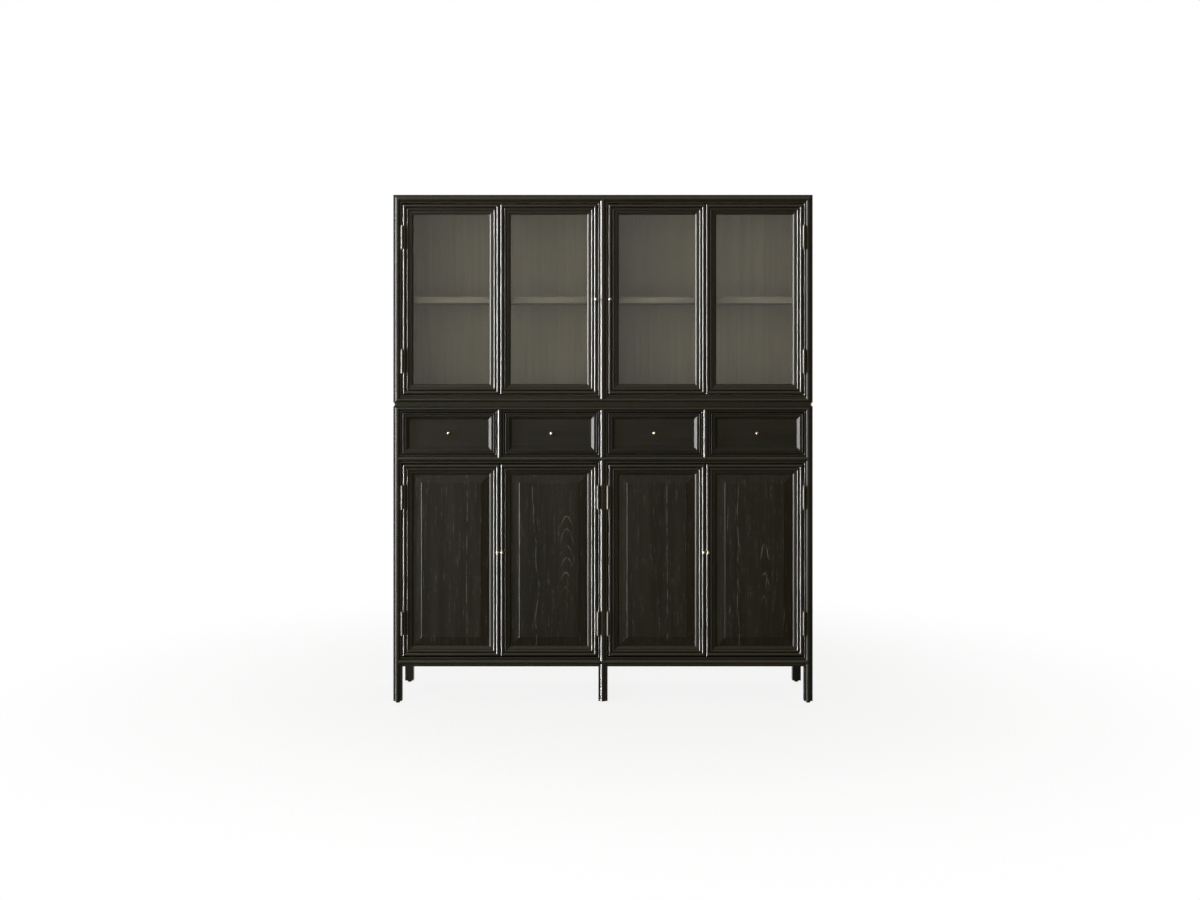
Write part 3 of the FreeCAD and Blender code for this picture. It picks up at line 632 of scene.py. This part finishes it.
# slotted screws in the hinge leaves, three to a leaf
screw = {
    "radius": 0.0034,
    "rise": 0.00012,
    "slot": 0.0009,
    "slotFloor": 0.00003,
    "arcSteps": 12,
    "turnStep": 2.4,  # radians from one slot to the next
    "fromLeafEdge": 0.010,
    "stagger": 0.0035,
    "spread": 0.036,
    "hingeFromEnd": 0.144,
    "leafHalfGap": 0.0002,
}


# a disc with two half-round lands, which leaves a slot between them, facing +X or -X
def addScrew(mesh, centre, facing, turn):
    def spot(height, angle):
        across = Vector((0, math.cos(angle + turn), math.sin(angle + turn))) * screw["radius"]
        return mesh.verts.new(centre + across + Vector((height * facing, 0, 0)))

    def lid(ring):
        mesh.faces.new(ring if facing > 0 else ring[::-1])

    def prism(bottom, top, angles):
        lower = [spot(bottom, angle) for angle in angles]
        upper = [spot(top, angle) for angle in angles]
        lid(upper)
        lid(lower[::-1])
        for here in range(len(angles)):
            after = (here + 1) % len(angles)
            lid([lower[here], lower[after], upper[after], upper[here]])

    steps = screw["arcSteps"]
    prism(0, screw["slotFloor"], [math.pi * step / steps for step in range(2 * steps)])
    edge = math.asin(screw["slot"] / 2 / screw["radius"])
    sweep = math.pi - 2 * edge
    for side in (0, math.pi):
        angles = [side + edge + sweep * step / steps for step in range(steps + 1)]
        prism(screw["slotFloor"], screw["rise"], angles)


def leafScrews(name, spots):
    mesh = bmesh.new()
    for count, (centre, facing) in enumerate(spots):
        addScrew(mesh, centre, facing, screw["turnStep"] * count)
    data = bpy.data.meshes.new(name)
    mesh.to_mesh(data)
    mesh.free()
    made = bpy.data.objects.new(name, data)
    bpy.context.scene.collection.objects.link(made)
    data.materials.append(hingeMetal)
    return made


fixedSpots = []
for joint in frame["joints"]:
    if joint["type"] != "hinge":
        continue
    door = joint["child"]
    low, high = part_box(door + "_frame")
    axis = Vector(joint["pos_m"])
    side = 1 if low.x + high.x > 2 * axis.x else -1
    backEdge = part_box(door + "_hinge_leaves")[1].y
    movingSpots = []
    for middle in (low.z + screw["hingeFromEnd"], high.z - screw["hingeFromEnd"]):
        for step in (-1, 0, 1):
            deep = backEdge - screw["fromLeafEdge"] + screw["stagger"] * (1 if step else -1)
            level = middle + step * screw["spread"]
            fixedSpots.append((Vector((axis.x - side * screw["leafHalfGap"], deep, level)), side))
            movingSpots.append((Vector((axis.x + side * screw["leafHalfGap"], deep, level)), -side))
    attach(leafScrews(door + "_hinge_screws", movingSpots), door)
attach(leafScrews("post_hinge_screws", fixedSpots), "carcass")
print("hinge screws set")

# studio
studio = {
    "floorHalf": 14.0,
    "floorColour": (0.80, 0.80, 0.79),
    "floorOwnLight": 0.85,  # share near the object, where the rest is paint that takes its shadow
    "fadeFrom": 0.9,
    "fadeTo": 3.0,
    "ambient": 0.20,
    "ambientBehind": 0.75,
    "lowRight": 0.03,
    "highLeft": 0.26,
    "behindObject": 0.30,
    "ceiling": 0.08,
    "behindLevels": (-0.5, 0.7),
    "slantLevels": (-0.35, 0.25),
    "ceilingLevels": (0.25, 0.60),
    "warmth": (1.0, 0.93, 0.64),
    "white": (1, 1, 1),
}

# some are only seen in the lacquer and the brass, the others only light them
softboxes = {
    "windowLeft": {
        "spot": Vector((-7.0, -1.75, 1.0)),
        "aim": Vector((0, -1.75, 1.0)),
        "size": (0.70, 8.0),
        "brightness": 95.0,
        "mirrored": True,
    },
    "wallLeft": {
        "spot": Vector((-7.0, -0.8, 1.0)),
        "aim": Vector((0, -0.8, 1.0)),
        "size": (1.2, 8.0),
        "brightness": 7.0,
        "mirrored": True,
    },
    "highLeft": {
        "spot": Vector((-3.2, -3.4, 4.4)),
        "aim": Vector((0, -0.2, 1.3)),
        "size": (1.3, 1.3),
        "brightness": 14.0,
        "mirrored": True,
    },
    "softLeft": {
        "spot": Vector((-1.5, -4.0, 1.8)),
        "aim": Vector((-0.1, -0.2, 1.2)),
        "size": (3.4, 2.4),
        "brightness": 4.6,
        "mirrored": False,
    },
    "fillFront": {
        "spot": Vector((-0.8, -6.4, 0.9)),
        "aim": Vector((0, -0.2, 1.1)),
        "size": (5.0, 3.4),
        "brightness": 2.1,
        "mirrored": False,
    },
}


def addSoftbox(name, box):
    wide, tall = box["size"]
    lamp = bpy.data.lights.new(name, "AREA")
    lamp.shape = "RECTANGLE"
    lamp.size = wide
    lamp.size_y = tall
    lamp.energy = box["brightness"] * wide * tall * math.pi
    made = bpy.data.objects.new(name, lamp)
    bpy.context.scene.collection.objects.link(made)
    made.location = box["spot"]
    made.rotation_euler = (box["aim"] - box["spot"]).to_track_quat("-Z", "Y").to_euler()
    made.visible_camera = False
    made.visible_glossy = box["mirrored"]
    made.visible_diffuse = not box["mirrored"]
    made.visible_transmission = False


# white to the plain rays, a dim warm room to glossy ones and soft light to the rest
def studioWorld():
    world = bpy.data.worlds.new("studio")
    world.use_nodes = True
    world.node_tree.nodes.clear()
    tree = Wire(world.node_tree)
    direction = tree.node("ShaderNodeTexCoord", {}, {}, "Generated")
    x, y, z = tree.node("ShaderNodeSeparateXYZ", {}, {0: direction}, (0, 1, 2))
    plain = tree.plainRays()
    behind = y.ease(*studio["behindLevels"])
    slant = (z - x).ease(*studio["slantLevels"])
    front = studio["lowRight"] + (studio["highLeft"] - studio["lowRight"]) * slant
    mirrored = front + behind * (studio["behindObject"] - front)
    mirrored = mirrored + studio["ceiling"] * z.ease(*studio["ceilingLevels"])
    ambient = studio["ambient"] + (studio["ambientBehind"] - studio["ambient"]) * behind
    dim = ambient + tree.rays("Glossy") * (mirrored - ambient)
    shader = tree.node("ShaderNodeBackground", {}, {
        "Color": plain.larger(behind).colours(studio["warmth"], studio["white"]),
        "Strength": dim + plain * (1 - dim),
    })
    tree.node("ShaderNodeOutputWorld", {}, {"Surface": shader})
    bpy.context.scene.world = world


# pale paint that takes the shadow, mixed with its own white light, fully white further off
def studioFloor():
    half = studio["floorHalf"]
    corners = [(-half, -half, 0), (half, -half, 0), (half, half, 0), (-half, half, 0)]
    data = bpy.data.meshes.new("studioFloor")
    data.from_pydata(corners, [], [(0, 1, 2, 3)])
    floor = bpy.data.objects.new("studioFloor", data)
    bpy.context.scene.collection.objects.link(floor)
    material, tree = newMaterial("paleFloor")
    x, y, z = tree.place()
    away = (x * x + y * y).root().ease(studio["fadeFrom"], studio["fadeTo"])
    own = (studio["floorOwnLight"] + (1 - studio["floorOwnLight"]) * away) * tree.plainRays()
    paint = tree.node("ShaderNodeBsdfDiffuse", {}, {"Color": studio["floorColour"]})
    glow = tree.node("ShaderNodeEmission", {}, {"Color": studio["white"], "Strength": 1.0})
    surface = tree.node("ShaderNodeMixShader", {}, {0: own, 1: paint, 2: glow})
    tree.node("ShaderNodeOutputMaterial", {}, {"Surface": surface})
    data.materials.append(material)
    floor.visible_glossy = False


for name, box in softboxes.items():
    addSoftbox(name, box)
studioWorld()
studioFloor()
print("studio lit")

# camera: level, square to the front, framed by a small shift
view = {
    "spot": (0, -6.988, 1.587),
    "lens": 46.85,
    "shiftX": -0.0025,
    "shiftY": -0.094,
}
lens = bpy.data.cameras.new("viewer")
lens.lens = view["lens"]
lens.shift_x = view["shiftX"]
lens.shift_y = view["shiftY"]
viewer = bpy.data.objects.new("viewer", lens)
bpy.context.scene.collection.objects.link(viewer)
viewer.location = view["spot"]
viewer.rotation_euler = (math.radians(90), 0, 0)
bpy.context.scene.camera = viewer
bpy.context.scene.view_settings.view_transform = "Standard"
